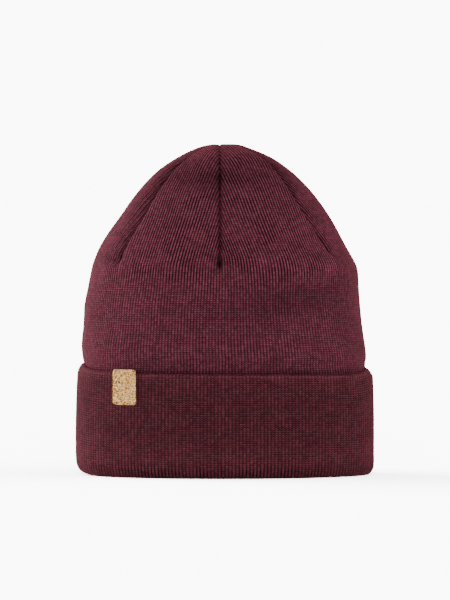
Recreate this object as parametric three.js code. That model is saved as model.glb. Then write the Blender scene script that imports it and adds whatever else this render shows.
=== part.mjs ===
// A fine rib-knit beanie with a deep turned-up cuff and a small cork label folded over the cuff's edge.
//
// The knit is a doubled tube. It runs down from six dart seams that meet at the top, turns round a
// soft fold at the hem and comes up again outside as the cuff. The hat stands on that fold, open
// below, as it does when it has been opened by hand.
//
// Millimetres. +Z is up, the front faces -Y, and the origin is on the floor under the middle of the
// hat. A turn is the angle round the hat from the front, positive towards +X.

import * as THREE from "three";

// Knit.
const KNIT_WALL = 3; // two layers of knit
const SLIT = 1.4; // room between the crown and the cuff that stands outside it
const PIECE_GAP = 0.3; // clearance between separate pieces

// Cuff.
const HAT_WIDTH = 197.4; // side to side over the cuff's fullest level
const CUFF_DEPTH = 108; // front to back over the same level
const CUFF_HEIGHT = 68.1; // at the front and back
const CUFF_TILT = 1.6; // extra height on the left, taken off on the right
const CUFF_END_RISE = 4.2; // how much higher the edge stands at the two ends of the oval
const CUFF_END_POWER = 18; // how closely that rise keeps to the ends
const CUFF_RIM_CURL = 2; // how far the rim curls in at the same ends
const CUFF_RIM_HEIGHT = 8; // height over which it curls
const CUFF_FULLEST = 24; // level of the fullest girth
const CUFF_DRAW_IN = 2.6; // how far each side draws in, one cuff height from there
const CUFF_LEAN_OUT = 4.5; // how far the front and back lean out over one cuff height
const FOLD_OUTER_REACH = 4.7; // outer corner of the hem fold, measured inwards
const FOLD_OUTER_RISE = 8; // and its height
const FOLD_OUTER_SLACK = 1; // extra height of that corner on the left, taken off on the right
const FOLD_INNER_REACH = 1.2; // inner corner of the hem fold
const FOLD_INNER_RISE = 2;
const FOLD_LEFT_LIFT = 2; // how far the hem's left end stands off the floor
const HEM_RETURN = 8; // height of the fold's inner leg, where it meets the crown wall
const CUFF_COLUMNS = 64;

// Crown. A row gives one level of its outer face: height, half width, half depth, and how far the
// level's two sides lean to +X.
const CROWN_ROWS = [
  { z: 72, halfWidth: 92.2, halfDepth: 52.9, lean: 0 },
  { z: 77, halfWidth: 93.6, halfDepth: 54.2, lean: -0.3 },
  { z: 83, halfWidth: 93.8, halfDepth: 55.6, lean: -0.7 },
  { z: 89, halfWidth: 93.3, halfDepth: 56.5, lean: -1 },
  { z: 99, halfWidth: 92.1, halfDepth: 57.6, lean: -1.3 },
  { z: 112, halfWidth: 91.1, halfDepth: 58, lean: -1.7 },
  { z: 124, halfWidth: 89.5, halfDepth: 57.7, lean: -0.9 },
  { z: 134, halfWidth: 88.2, halfDepth: 56.9, lean: -0.3 },
  { z: 140, halfWidth: 86.5, halfDepth: 56.1, lean: -0.6 },
  { z: 150, halfWidth: 81.6, halfDepth: 53.9, lean: -1.4 },
  { z: 160, halfWidth: 75.9, halfDepth: 50.9, lean: -1 },
  { z: 170, halfWidth: 69.4, halfDepth: 47.1, lean: -0.2 },
  { z: 182, halfWidth: 61.1, halfDepth: 41.3, lean: -0.3 },
  { z: 193, halfWidth: 51.8, halfDepth: 34.9, lean: -0.5 },
  { z: 202, halfWidth: 42, halfDepth: 28.4, lean: -0.4 },
  { z: 210, halfWidth: 29.8, halfDepth: 20.8, lean: 0.1 },
  { z: 215.5, halfWidth: 16.8, halfDepth: 12.2, lean: -1 },
  { z: 217.7, halfWidth: 7.4, halfDepth: 5.5, lean: -1 },
  { z: 218.3, halfWidth: 0, halfDepth: 0, lean: -3.2 },
];
const CROWN_TOP = 218.3;
const CROWN_LEVELS_IN_CUFF = [HEM_RETURN + PIECE_GAP, 30, 52];
const FRONT_SEAM_X = -3.6; // upright plane of the front seam
const SHOULDER_FROM = 80; // heights between which the front's mid-line moves over to that plane
const SHOULDER_TO = 137;

// Dart seams: the turn at both ends, how far the seam bows from it halfway, and the height of the
// lower end.
const SEAMS = [
  { turn: -2, bow: 0, foot: 137 },
  { turn: 59, bow: -7, foot: 144.5 },
  { turn: 125, bow: 0, foot: 143 },
  { turn: 182, bow: 0, foot: 139 },
  { turn: 234, bow: 0, foot: 144 },
  { turn: 306, bow: 3, foot: 139.5 },
];
const SEAM_DEPTH = 3; // how far a seam pulls the knit in
const SEAM_REACH = 3; // how far from the seam that pull falls to a third
const SEAM_RUN_IN = 5; // height over which the pull begins
const SEAM_EASE_FROM = 190; // above this height the pull eases off
const SEAM_TOP_SHARE = 0.4; // to this share of its depth at the top
const PIT_DEPTH = 1.6; // extra pinch at a seam's lower end
const PIT_RISE = 3.5; // height of the pinch above that end, and its half length
const ALLOWANCE_HEIGHT = 3; // seam allowance that stands up inside
const ALLOWANCE_HALF_WIDTH = 1.8;

// Soft folds and swellings of the crown: middle, half spans, slope in millimetres of height for each
// degree of turn, and depth inwards.
const FOLDS = [
  { turn: 30, z: 116, halfTurn: 34, halfRise: 12, slope: 0.26, depth: 2.4 },
  { turn: 52, z: 138, halfTurn: 22, halfRise: 8, slope: 0, depth: -1 },
  { turn: 58, z: 104, halfTurn: 10, halfRise: 20, slope: 0, depth: 1 },
  { turn: -58, z: 106, halfTurn: 14, halfRise: 14, slope: 0, depth: 0.8 },
  { turn: -20, z: 196, halfTurn: 24, halfRise: 7, slope: -0.1, depth: 2.2 },
  { turn: 20, z: 199, halfTurn: 20, halfRise: 6, slope: 0, depth: 1.6 },
  { turn: 90, z: 217, halfTurn: 50, halfRise: 4, slope: 0, depth: -0.5 },
  { turn: 150, z: 118, halfTurn: 30, halfRise: 12, slope: -0.2, depth: 1.8 },
  { turn: 215, z: 100, halfTurn: 28, halfRise: 10, slope: 0.2, depth: 1.5 },
];

// Columns of a gore, as shares of the way from one seam to the next, closest at the seams.
const GORE_COLUMNS = [0, 0.03, 0.08, 0.18, 0.34, 0.5, 0.66, 0.82, 0.92, 0.97];
const OUTER_KEY_STEP = 0.5;
const INNER_KEY_STEP = 1;

// Label.
const LABEL_WIDTH = 16.8;
const LABEL_DROP = 23.1; // from its fold down the front
const LABEL_LIFT = 1.1; // how far its fold stands off the cuff's edge
const LABEL_BACK_DROP = 20; // down the back of the cuff, out of sight
const LABEL_THICKNESS = 0.8;
const LABEL_CORNER = 2;
const LABEL_TURN = -42.5;
const LABEL_SKEW = 0.5; // how far it runs to the left for each mm inwards, folded a little askew
const LABEL_COLUMNS = 8;

// Worked out from the sizes above.
const RIM_ROUND = KNIT_WALL / 2; // the cuff's rim is a half circle
const LABEL_BEND_RADIUS = RIM_ROUND + PIECE_GAP + LABEL_THICKNESS;
const LABEL_FRONT = LABEL_DROP - LABEL_BEND_RADIUS;
const LABEL_BEND = Math.PI * (LABEL_BEND_RADIUS - LABEL_THICKNESS / 2);
const LABEL_LENGTH = LABEL_FRONT + LABEL_BEND + LABEL_BACK_DROP;

// Colour and finish of each piece.
const KNIT = { color: 0x54262f, roughness: 0.95, metalness: 0 };
const CUFF_KNIT = { color: 0x4a2129, roughness: 0.95, metalness: 0 };
const CORK = { color: 0xd8b487, roughness: 0.85, metalness: 0 };

const radians = THREE.MathUtils.degToRad;
const { smoothstep, lerp } = THREE.MathUtils;
const bell = (offset, half) => Math.exp(-((offset / half) ** 2));

// Catmull-Rom spline through evenly keyed values, carried on straight past both ends.
function spline(values, key) {
  const last = values.length - 1;
  const from = Math.min(Math.floor(key), last - 1);
  const at = (k) => {
    if (k < 0) return 2 * values[0] - values[1];
    if (k > last) return 2 * values[last] - values[last - 1];
    return values[k];
  };
  const [p0, p1, p2, p3] = [-1, 0, 1, 2].map((step) => at(from + step));
  const f = key - from;
  const bend = (2 * p0 - 5 * p1 + 4 * p2 - p3) * f * f;
  const twist = (3 * p1 - p0 - 3 * p2 + p3) * f * f * f;
  return p1 + 0.5 * ((p2 - p0) * f + bend + twist);
}

// Half width and half depth of the cuff's face at a level.
function cuffSize(z) {
  const above = (z - CUFF_FULLEST) / CUFF_HEIGHT;
  return [HAT_WIDTH / 2 - CUFF_DRAW_IN * above ** 2, CUFF_DEPTH / 2 + CUFF_LEAN_OUT * above];
}

// How near a turn is to the two ends of the oval, from 0 to 1.
function nearEnd(turn) {
  return Math.sin(turn) ** CUFF_END_POWER;
}

// Height of the cuff's upper edge at a turn.
function cuffEdge(turn) {
  const tilt = CUFF_TILT * Math.sin(turn) * Math.abs(Math.sin(turn));
  return CUFF_HEIGHT - tilt + CUFF_END_RISE * nearEnd(turn);
}

// A point inset from the cuff's face by a distance square to it.
function cuffPoint(turn, inset, z) {
  const [a, b] = cuffSize(z);
  const edge = cuffEdge(turn);
  const curl = CUFF_RIM_CURL * nearEnd(turn) * smoothstep(z, edge - CUFF_RIM_HEIGHT, edge);
  const face = new THREE.Vector3(a * Math.sin(turn), -b * Math.cos(turn), z);
  const out = new THREE.Vector3(b * Math.sin(turn), -a * Math.cos(turn), 0).normalize();
  return face.addScaledVector(out, -inset - curl);
}

// The crown's levels from the hem to the top, the lowest ones fitted inside the cuff.
const LEVELS = [
  ...CROWN_LEVELS_IN_CUFF.map((z) => {
    const [a, b] = cuffSize(z);
    return { z, halfWidth: a - KNIT_WALL - SLIT, halfDepth: b - KNIT_WALL - SLIT, lean: 0 };
  }),
  ...CROWN_ROWS,
];
const TOP_KEY = LEVELS.length - 1;

// The level at a key, each of its sizes taken from a spline through the rows.
function levelAt(key) {
  const size = (name) => spline(LEVELS.map((row) => row[name]), key);
  return { z: size("z"), a: size("halfWidth"), b: size("halfDepth"), lean: size("lean") };
}

// A point of the crown's plain outer form, before its seams and folds: an oval whose sides follow
// the rows, and whose mid-line at the front and back moves over to the front seam's plane.
function formPoint(turn, key) {
  const { z, a, b, lean } = levelAt(key);
  const onPlane = FRONT_SEAM_X - a * Math.sin(radians(SEAMS[0].turn));
  const shift = (onPlane - lean) * smoothstep(z, SHOULDER_FROM, SHOULDER_TO);
  const x = lean + a * Math.sin(turn) + shift * Math.cos(turn) ** 2;
  return new THREE.Vector3(x, -b * Math.cos(turn), z);
}

// Outward direction of that form, from the slopes along the turn and along the key.
function formNormal(turn, key) {
  const step = 0.01;
  const high = Math.min(key + step, TOP_KEY - step);
  const low = Math.max(high - 2 * step, 0);
  const round = formPoint(turn + step, high).sub(formPoint(turn - step, high));
  const up = formPoint(turn, high).sub(formPoint(turn, low));
  return round.cross(up).normalize();
}

// How far a seam pulls the knit in, which eases off towards the top.
function seamDepth(z) {
  return SEAM_DEPTH * lerp(1, SEAM_TOP_SHARE, smoothstep(z, SEAM_EASE_FROM, CROWN_TOP));
}

// Turn of a seam at a height, carried on straight down below its foot.
function seamTurn({ turn, bow, foot }, z) {
  const share = THREE.MathUtils.clamp((z - foot) / (CROWN_TOP - foot), 0, 1);
  return radians(turn + bow * Math.sin(Math.PI * share));
}

// Smallest angle between two turns.
function turnBetween(one, other) {
  return Math.abs(Math.atan2(Math.sin(one - other), Math.cos(one - other)));
}

// Depth of the nearest seam's pull, and the height of its allowance inside.
function seamAt(turn, key) {
  const { z, a, b } = levelAt(key);
  let pull = 0;
  let ridge = 0;
  for (const seam of SEAMS) {
    const middle = seamTurn(seam, z);
    const speed = Math.hypot(a * Math.cos(middle), b * Math.sin(middle));
    const away = turnBetween(turn, middle) * speed;
    const started = smoothstep(z, seam.foot, seam.foot + SEAM_RUN_IN);
    const pinch = PIT_DEPTH * bell(z - seam.foot - PIT_RISE, PIT_RISE);
    pull = Math.max(pull, (seamDepth(z) * started + pinch) * Math.exp(-away / SEAM_REACH));
    ridge = Math.max(ridge, ALLOWANCE_HEIGHT * started * bell(away, ALLOWANCE_HALF_WIDTH));
  }
  return { pull, ridge };
}

// Depth of all soft folds together at a point of the crown.
function foldDepth(turn, key) {
  const { z } = levelAt(key);
  return FOLDS.reduce((sum, fold) => {
    const middle = radians(fold.turn);
    const away = Math.atan2(Math.sin(turn - middle), Math.cos(turn - middle));
    const degrees = THREE.MathUtils.radToDeg(away);
    const height = z - fold.z - fold.slope * degrees;
    return sum + fold.depth * bell(degrees, fold.halfTurn) * bell(height, fold.halfRise);
  }, 0);
}

// A point of the crown's outer or inner face.
function crownPoint(turn, key, inside) {
  const { pull, ridge } = seamAt(turn, key);
  const inset = foldDepth(turn, key) + pull + (inside ? KNIT_WALL + ridge : 0);
  return formPoint(turn, key).addScaledVector(formNormal(turn, key), -inset);
}

// Turns of the crown's columns at a height, gore by gore.
function crownTurns(z) {
  return SEAMS.flatMap((seam, i) => {
    const from = seamTurn(seam, z);
    const to = seamTurn(SEAMS[(i + 1) % SEAMS.length], z) + (i + 1 < SEAMS.length ? 0 : radians(360));
    return GORE_COLUMNS.map((share) => lerp(from, to, share));
  });
}

// A closed skin over rings of equal length. Triangles that shrink to a line, as round a pole, are
// left out. A tube of rings closes on itself, and others are shut by joining each end ring across.
function skin(rings, { tube = false, shut = false } = {}) {
  const points = rings.flat();
  const count = rings[0].length;
  const triangles = [];
  const add = (...corners) => {
    const [p, q, r] = corners.map((k) => points[k]);
    const apart = Math.min(p.distanceTo(q), q.distanceTo(r), r.distanceTo(p));
    if (apart > 1e-4) triangles.push(...corners);
  };
  const bands = tube ? rings.length : rings.length - 1;
  for (let i = 0; i < bands; i++) {
    const here = i * count;
    const there = ((i + 1) % rings.length) * count;
    for (let j = 0; j < count; j++) {
      const next = (j + 1) % count;
      add(here + j, there + j, there + next);
      add(here + j, there + next, here + next);
    }
  }
  if (shut) {
    const end = (rings.length - 1) * count;
    for (let j = 0; j < count / 2 - 1; j++) {
      const across = count - 1 - j;
      add(j, j + 1, across - 1);
      add(j, across - 1, across);
      add(end + j, end + across - 1, end + j + 1);
      add(end + j, end + across, end + across - 1);
    }
  }
  const geometry = new THREE.BufferGeometry().setFromPoints(points);
  geometry.setIndex(triangles);
  geometry.computeVertexNormals();
  return geometry;
}

// Keys from the top to the hem.
function keysDown(step) {
  return Array.from({ length: Math.round(TOP_KEY / step) + 1 }, (_, i) => TOP_KEY - i * step);
}

// The crown: outer face from the top to the hem, then the inner face back up.
function crownGeometry() {
  const ring = (key, inside) => {
    const turns = crownTurns(levelAt(key).z);
    if (key < TOP_KEY) return turns.map((turn) => crownPoint(turn, key, inside));
    const pole = formPoint(0, key);
    pole.z -= seamDepth(CROWN_TOP) + (inside ? KNIT_WALL + ALLOWANCE_HEIGHT : 0);
    return turns.map(() => pole);
  };
  const outer = keysDown(OUTER_KEY_STEP).map((key) => ring(key, false));
  const inner = keysDown(INNER_KEY_STEP).map((key) => ring(key, true));
  return skin([...outer, ...inner.reverse()]);
}

// Points of an elliptic quarter from one angle to another, in turns of 90 degrees.
function corner(inset, z, reach, rise, from, to, steps) {
  return Array.from({ length: steps + 1 }, (_, i) => {
    const angle = radians(90) * lerp(from, to, i / steps);
    return { inset: inset + reach * Math.cos(angle), z: z + rise * Math.sin(angle) };
  });
}

// The cuff's section at a turn, as insets from its face and heights: down the face, round the fold,
// up its inner leg, down into the slit, up the back and over the edge.
function cuffSection(turn) {
  const top = cuffEdge(turn) - RIM_ROUND;
  const lift = Math.sin(turn) < 0 ? FOLD_LEFT_LIFT * nearEnd(turn) : 0;
  const rise = FOLD_OUTER_RISE - FOLD_OUTER_SLACK * Math.sin(turn);
  const thickness = 2 * KNIT_WALL + SLIT;
  const slitFloor = lift + KNIT_WALL + SLIT / 2;
  const innerCorner = thickness - FOLD_INNER_REACH;
  const up = (inset, from, shares) => shares.map((share) => ({ inset, z: lerp(from, top, share) }));
  return [
    ...up(0, lift + rise, [0.95, 0.86, 0.72, 0.45, 0.22]),
    ...corner(FOLD_OUTER_REACH, lift + rise, FOLD_OUTER_REACH, rise, 2, 3, 4),
    ...corner(innerCorner, lift + FOLD_INNER_RISE, FOLD_INNER_REACH, FOLD_INNER_RISE, -1, 0, 2),
    { inset: thickness, z: HEM_RETURN },
    { inset: KNIT_WALL + SLIT, z: HEM_RETURN },
    ...corner(KNIT_WALL + SLIT / 2, slitFloor, SLIT / 2, SLIT / 2, 0, -2, 2),
    ...up(KNIT_WALL, slitFloor, [0.3, 0.65, 0.86]),
    ...corner(RIM_ROUND, top, RIM_ROUND, RIM_ROUND, 0, 2, 4),
  ];
}

function cuffGeometry() {
  const turns = Array.from({ length: CUFF_COLUMNS }, (_, i) => radians(360) * (i / CUFF_COLUMNS));
  const sections = turns.map((turn) =>
    cuffSection(turn).map(({ inset, z }) => cuffPoint(turn, inset, z)),
  );
  const rings = sections[0].map((_, step) => sections.map((section) => section[step]));
  return skin(rings, { tube: true });
}

// The label's run over the cuff's rim: inset and height above the cuff's edge of a point of its
// outer or inner face, by the distance along it from the lower end of the front.
function labelRun(along, outer) {
  const radius = LABEL_BEND_RADIUS - (outer ? 0 : LABEL_THICKNESS);
  const level = LABEL_LIFT - RIM_ROUND;
  const past = along - LABEL_FRONT;
  if (past < 0) return { inset: RIM_ROUND - radius, above: level + past };
  if (past > LABEL_BEND) return { inset: RIM_ROUND + radius, above: level - (past - LABEL_BEND) };
  const angle = (Math.PI * past) / LABEL_BEND;
  return {
    inset: RIM_ROUND - radius * Math.cos(angle),
    above: level + radius * Math.sin(angle),
  };
}

// Distances along the label of its rings: close at the rounded corners and round the bend.
function labelSteps() {
  return [
    ...[0, 0.15, 0.5, 1].map((share) => share * LABEL_CORNER),
    ...[0.4, 0.7].map((share) => share * LABEL_FRONT),
    ...[0, 0.2, 0.4, 0.6, 0.8, 1].map((share) => LABEL_FRONT + share * LABEL_BEND),
    ...[0.65, 0.3, 0].map((share) => LABEL_LENGTH - share * LABEL_BACK_DROP),
  ];
}

function labelGeometry() {
  const middle = radians(LABEL_TURN);
  const edge = cuffEdge(middle);
  const [a, b] = cuffSize(edge - LABEL_DROP / 2);
  const speed = Math.hypot(a * Math.cos(middle), b * Math.sin(middle));
  const rings = labelSteps().map((along) => {
    const cut = Math.max(0, LABEL_CORNER - along);
    const halfWidth = LABEL_WIDTH / 2 - LABEL_CORNER + Math.sqrt(LABEL_CORNER ** 2 - cut ** 2);
    const side = (outer) =>
      Array.from({ length: LABEL_COLUMNS + 1 }, (_, i) => {
        const { inset, above } = labelRun(along, outer);
        const across = halfWidth * (2 * (i / LABEL_COLUMNS) - 1) - LABEL_SKEW * inset;
        return cuffPoint(middle + across / speed, inset, edge + above);
      });
    return [...side(false), ...side(true).reverse()];
  });
  return skin(rings, { shut: true });
}

function piece(name, geometry, finish) {
  const mesh = new THREE.Mesh(geometry, new THREE.MeshStandardMaterial(finish));
  mesh.name = name;
  return mesh;
}

const beanie = new THREE.Group();
beanie.add(piece("crown", crownGeometry(), KNIT));
beanie.add(piece("cuff", cuffGeometry(), CUFF_KNIT));
beanie.add(piece("label", labelGeometry(), CORK));

export default beanie;
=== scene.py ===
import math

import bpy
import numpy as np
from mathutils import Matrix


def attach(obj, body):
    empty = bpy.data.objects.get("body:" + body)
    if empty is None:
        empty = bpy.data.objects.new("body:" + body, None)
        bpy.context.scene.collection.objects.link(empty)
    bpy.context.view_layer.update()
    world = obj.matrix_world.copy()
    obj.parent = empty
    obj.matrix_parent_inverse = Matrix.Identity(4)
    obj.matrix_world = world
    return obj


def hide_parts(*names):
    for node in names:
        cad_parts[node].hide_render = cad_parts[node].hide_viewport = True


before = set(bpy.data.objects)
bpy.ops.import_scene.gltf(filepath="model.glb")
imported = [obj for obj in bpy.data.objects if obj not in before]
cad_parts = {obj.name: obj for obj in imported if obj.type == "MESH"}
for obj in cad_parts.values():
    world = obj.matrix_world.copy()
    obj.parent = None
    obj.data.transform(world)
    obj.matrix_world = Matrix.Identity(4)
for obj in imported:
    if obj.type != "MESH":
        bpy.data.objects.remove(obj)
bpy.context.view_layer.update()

# A fine rib-knit beanie with a turned-up cuff and a cork tab, dressed in wool and cork.
#
# Shapes are worked out in millimetres and written to the meshes in metres. The front faces -Y, and a
# turn is the angle round the hat from the front, positive towards +X.

MM = 0.001

# ---------------------------------------------------------------- knit

KNIT_WALL = 3.0
SLIT = 1.4  # room between the crown and the cuff that stands outside it
PIECE_GAP = 0.3
SAMPLES_ACROSS_WALE = np.array([0.0, 0.3, 0.7])  # groove, then the two shoulders of the rib
COURSE = 1.45  # height of one row of stitches
RIB_DEPTH = 0.5  # where the relief is full
RIB_SIDE = 0.75  # width of a groove's sloping side, as a share of half a wale
RIB_FLATTER = 0.85  # by what share the ribs are flatter at the oval's ends, where the knit bends most
RIB_FLATTER_POWER = 8  # of the turn's sine: a higher one keeps this closer to the ends
RIB_NEAR_SEAM = 0.3  # of a wale: nearer than this to a seam, a rib fades

# Relief: how deep the grooves are, as a share, deepest where the knit is gathered below the top.
RELIEF_COLUMNS = [("z", float), ("relief", float)]
RELIEF = np.array(
    [
        (0.0, 0.6),
        (8.0, 0.5),
        (18.0, 0.3),
        (60.0, 0.3),
        (80.0, 0.4),
        (134.0, 0.5),
        (175.0, 0.6),
        (195.0, 1.1),
        (208.0, 1.0),
        (220.0, 0.3),
    ],
    dtype=RELIEF_COLUMNS,
)

# The hang of soft knit, in slow waves: crests round the hat, the height over which a wave goes on by
# one radian (less than none slopes it the other way), where it starts in radians, and its height
# against the first.
WAVE_COLUMNS = [("crests", float), ("climb", float), ("start", float), ("share", float)]
WAVES = np.array(
    [
        (5.0, 17.0, 0.0, 1.0),
        (9.0, -11.0, 1.3, 0.7),
        (3.0, 7.0, 4.1, 0.5),
    ],
    dtype=WAVE_COLUMNS,
)

# ---------------------------------------------------------------- cuff

HAT_WIDTH = 197.4
CUFF_DEPTH = 108.0
CUFF_HEIGHT = 68.1
CUFF_WALES = 212
CUFF_FULLEST = 24.0  # the height at which it is widest
CUFF_DRAW_IN = 2.6  # how far each side draws in, one cuff's height away from there
CUFF_LEAN_OUT = 4.5  # how far the front and back lean out, over the cuff's height
CUFF_TILT = 1.6  # how much higher the edge is at the left end, and lower at the right
CUFF_END_RISE = 4.2  # how far the edge rises at both ends
CUFF_END_POWER = 18  # of the turn's sine: a higher one keeps this closer to the ends
CUFF_RIM_CURL = 1.4  # how far the rim curls in at the two ends
CUFF_RIM_CURL_RIGHT = 0.5  # and how much more at the right, less at the left
CUFF_RIM_THIN = 2.2  # how much the stretched wall thins there, on its outer side
CUFF_RIM_HEIGHT = 7.5  # height over which it curls and thins
CUFF_WAVE = 0.14  # depth of the first of its waves
CUFF_WAVE_PACE = 0.6  # how fast its waves go on with height, against the crown's
CUFF_WAVES_FROM = 8.0
CUFF_WAVES_FULL = 20.0
CUFF_WAVES_END_INSIDE = 3.2  # no waves further than this from the face
CUFF_WAVES_FULL_INSIDE = 0.2

# Its section, with the hem fold that the hat stands on: how far in and how far up each corner goes.
HEM_OUTER_REACH = 4.7
HEM_OUTER_RISE = 8.0
HEM_OUTER_SLACK = 1.0  # how much less the outer corner rises at the right end, more at the left
HEM_INNER_REACH = 1.2
HEM_INNER_RISE = 2.0
HEM_LEFT_LIFT = 2.0  # how far its left end stands off the floor
HEM_RETURN = 8.0  # height of its inner leg, which the crown stands on
FACE_ROWS = 46
HEM_OUTER_ROWS = 12
HEM_INNER_ROWS = 5
SLIT_ROWS = 5
BACK_ROWS = 8
RIM_ROWS = 9
CUFF_STEPS = 7201  # how finely the oval's length is added up

RIM_LIGHT = 0.35  # painted light on the rim's rounded top, where it catches light: how much lighter the knit is painted there
RIM_LIGHT_REACH = 2.5
HEM_LIGHT = 0.25  # and painted light on the face above the hem fold
HEM_LIGHT_HEIGHT = 13.0
HEM_LIGHT_REACH = 9.0

# ---------------------------------------------------------------- crown

# Levels of its outer face. Inside the cuff only their heights are given.
CROWN_LEVELS_IN_CUFF = [HEM_RETURN + PIECE_GAP, 30.0, 52.0]
LEVEL_COLUMNS = [("z", float), ("half_width", float), ("half_depth", float), ("lean", float)]
CROWN_ROWS = [
    (72.0, 92.9, 52.2, -0.3),
    (77.0, 93.6, 54.2, -0.3),
    (83.0, 93.8, 55.6, -0.7),
    (89.0, 93.3, 56.5, -1.0),
    (99.0, 92.1, 57.6, -1.3),
    (112.0, 91.1, 58.0, -1.7),
    (124.0, 89.5, 57.7, -0.9),
    (134.0, 88.2, 56.9, -0.3),
    (140.0, 86.5, 56.1, -0.6),
    (150.0, 81.6, 53.9, -1.4),
    (160.0, 75.9, 50.9, -1.0),
    (170.0, 69.4, 47.1, -0.2),
    (182.0, 61.1, 41.3, -0.3),
    (193.0, 51.8, 34.9, -0.5),
    (202.0, 42.0, 28.4, -0.4),
    (210.0, 29.8, 20.8, 0.1),
    (215.5, 16.8, 12.2, -1.0),
    (217.7, 8.4, 5.8, -0.6),
    (218.3, 0.0, 0.0, -3.2),
]
CROWN_TOP = CROWN_ROWS[-1][0]
FRONT_SEAM_TURN = -2.0
FRONT_SEAM_X = -3.6  # the upright plane that the front seam lies in
SHOULDER_FROM = 80.0  # the form's mid-line moves over to that plane between these heights
SHOULDER_TO = 137.0
CROWN_WAVE = 0.16  # depth of the first of its waves
CROWN_WAVES_FROM = 75.0
CROWN_WAVES_FULL = 90.0

# Rows and wales.
OUTER_ROWS = 112
HIDDEN_ROWS = 4  # how many of them are spread over what the cuff hides
SHOWS_BELOW_EDGE = 8.0  # how far below the cuff's edge the close rows still go on
INNER_ROWS = 18
LEVEL_STEPS = 4000  # how finely the length from hem to top is added up
GORE_STEPS = 241  # and the width of a gore
LEAST_WIDTH = 1e-6  # stands in for a gore's width of none at the top
SPARE_WALES = 4  # past each side of a gore, for where its wales slant away from a seam
WALE_RUN_IN = 6.0  # height over which the wales turn parallel above the foot of a dart
GATHER_FROM = 104.0  # the wales are drawn towards the seams between these heights
GATHER_FULL = 156.0
SPREAD = 4.0  # degrees by which the wales spread at most to the oval's ends, down at the cuff
SPREAD_LOW = 66.0
SPREAD_HIGH = 115.0

# Dart seams: the turn in degrees at both ends, the bow halfway, the height of the foot, how far the
# pull reaches to the left and the right, and how much painted shade darkens the knit there. Then the
# wales beside each: how far those of the gore to its right slant to +X for each mm of height, how far
# those halfway to the middle of the gore on either side are drawn towards it, and how many wales the
# gore to its right has, which is an even number.
SEAM_COLUMNS = [
    ("turn", float),
    ("bow", float),
    ("foot", float),
    ("reach_left", float),
    ("reach_right", float),
    ("shade", float),
    ("slant", float),
    ("drawn_left", float),
    ("drawn_right", float),
    ("wales", int),
]
SEAMS = np.array(
    [
        (-54.0, 3.0, 139.5, 7.5, 1.0, 0.22, 0.03, -1.5, -1.0, 38),
        (FRONT_SEAM_TURN, 0.0, 137.0, 3.0, 3.0, 0.22, -0.03, 1.2, 1.6, 44),
        (59.0, -7.0, 144.5, 1.0, 4.0, 0.22, 0.0, 0.4, -1.0, 44),
        (125.0, 0.0, 143.0, 3.0, 3.0, 0.22, 0.0, 1.2, 1.2, 40),
        (182.0, 0.0, 139.0, 3.0, 3.0, 0.22, 0.0, 1.2, 1.2, 38),
        (234.0, 0.0, 144.0, 3.0, 3.0, 0.22, 0.0, 1.2, 1.2, 46),
    ],
    dtype=SEAM_COLUMNS,
)
SEAM_DEPTH = 3.0
SEAM_RUN_IN = 5.0  # height over which it sets in above its foot
SEAM_EASE_FROM = 190.0  # above this height the pull eases off
SEAM_TOP_SHARE = 0.1  # to this share of its depth at the top
PIT_DEPTH = 2.6  # the small pit where the dart starts
PIT_RISE = 2.6  # how far above the foot its middle is, and its half height
PIT_SHADE = 0.8
PIT_SHADE_HALF_WIDTH = 1.7
PIT_SHADE_HALF_HEIGHT = 4.0
ALLOWANCE_HEIGHT = 3.0  # the seam allowance inside
ALLOWANCE_HALF_WIDTH = 1.8

# The sewn line itself is narrower than the pull around it.
STITCH_LINE_DEPTH = 0.7
STITCH_LINE_REACH = 0.9
STITCH_LINE_SHADE = 0.5
STITCH_LINE_UNEVEN = 0.3  # half the share by which it is lighter in places
STITCH_LINE_WAVES = (1.1, 2.7)  # mm for each radian of the two waves that say where
CALM_SHARE = 0.3  # it is lighter by this share at the middle of one stretch
CALM_HEIGHT = 176.0
CALM_HALF_HEIGHT = 15.0

# A pull that reaches far also pushes up small ridges beside the dart, with troughs between them.
PUCKER_FROM_REACH = 5.0
PUCKER_HEIGHT = 0.5
PUCKER_SHADE = 0.55
PUCKER_SPACING = 3.2
PUCKER_REACH = 12.0
PUCKER_RUN_IN = 1.0  # none right at the seam, where the two gores meet
PUCKER_SLANT = 0.3  # how far they run towards the seam for each mm of height
PUCKER_BELOW = 4.0  # how far below the foot of the dart they begin
PUCKER_UNEVEN = 0.25  # half the share by which they come and go along the dart
PUCKER_WAVES = (0.9, 2.3)  # mm for each radian of the two waves that say where

# Painted shade.
TOP_SHADE = 0.17  # where the seams draw together below the top
TOP_SHADE_HEIGHT = 198.0
TOP_SHADE_HALF_WIDTH = 14.0
TOP_SHADE_HALF_HEIGHT = 13.0
RIM_SHADE = 0.45  # the crown just above the cuff's edge
RIM_SHADE_REACH = 3.0
FOLD_SHADE = 0.15  # painted shade for each mm that a fold goes in; a swelling gets as much painted light
MOST_LIGHT = 0.5  # no place is lighter than this

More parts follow.
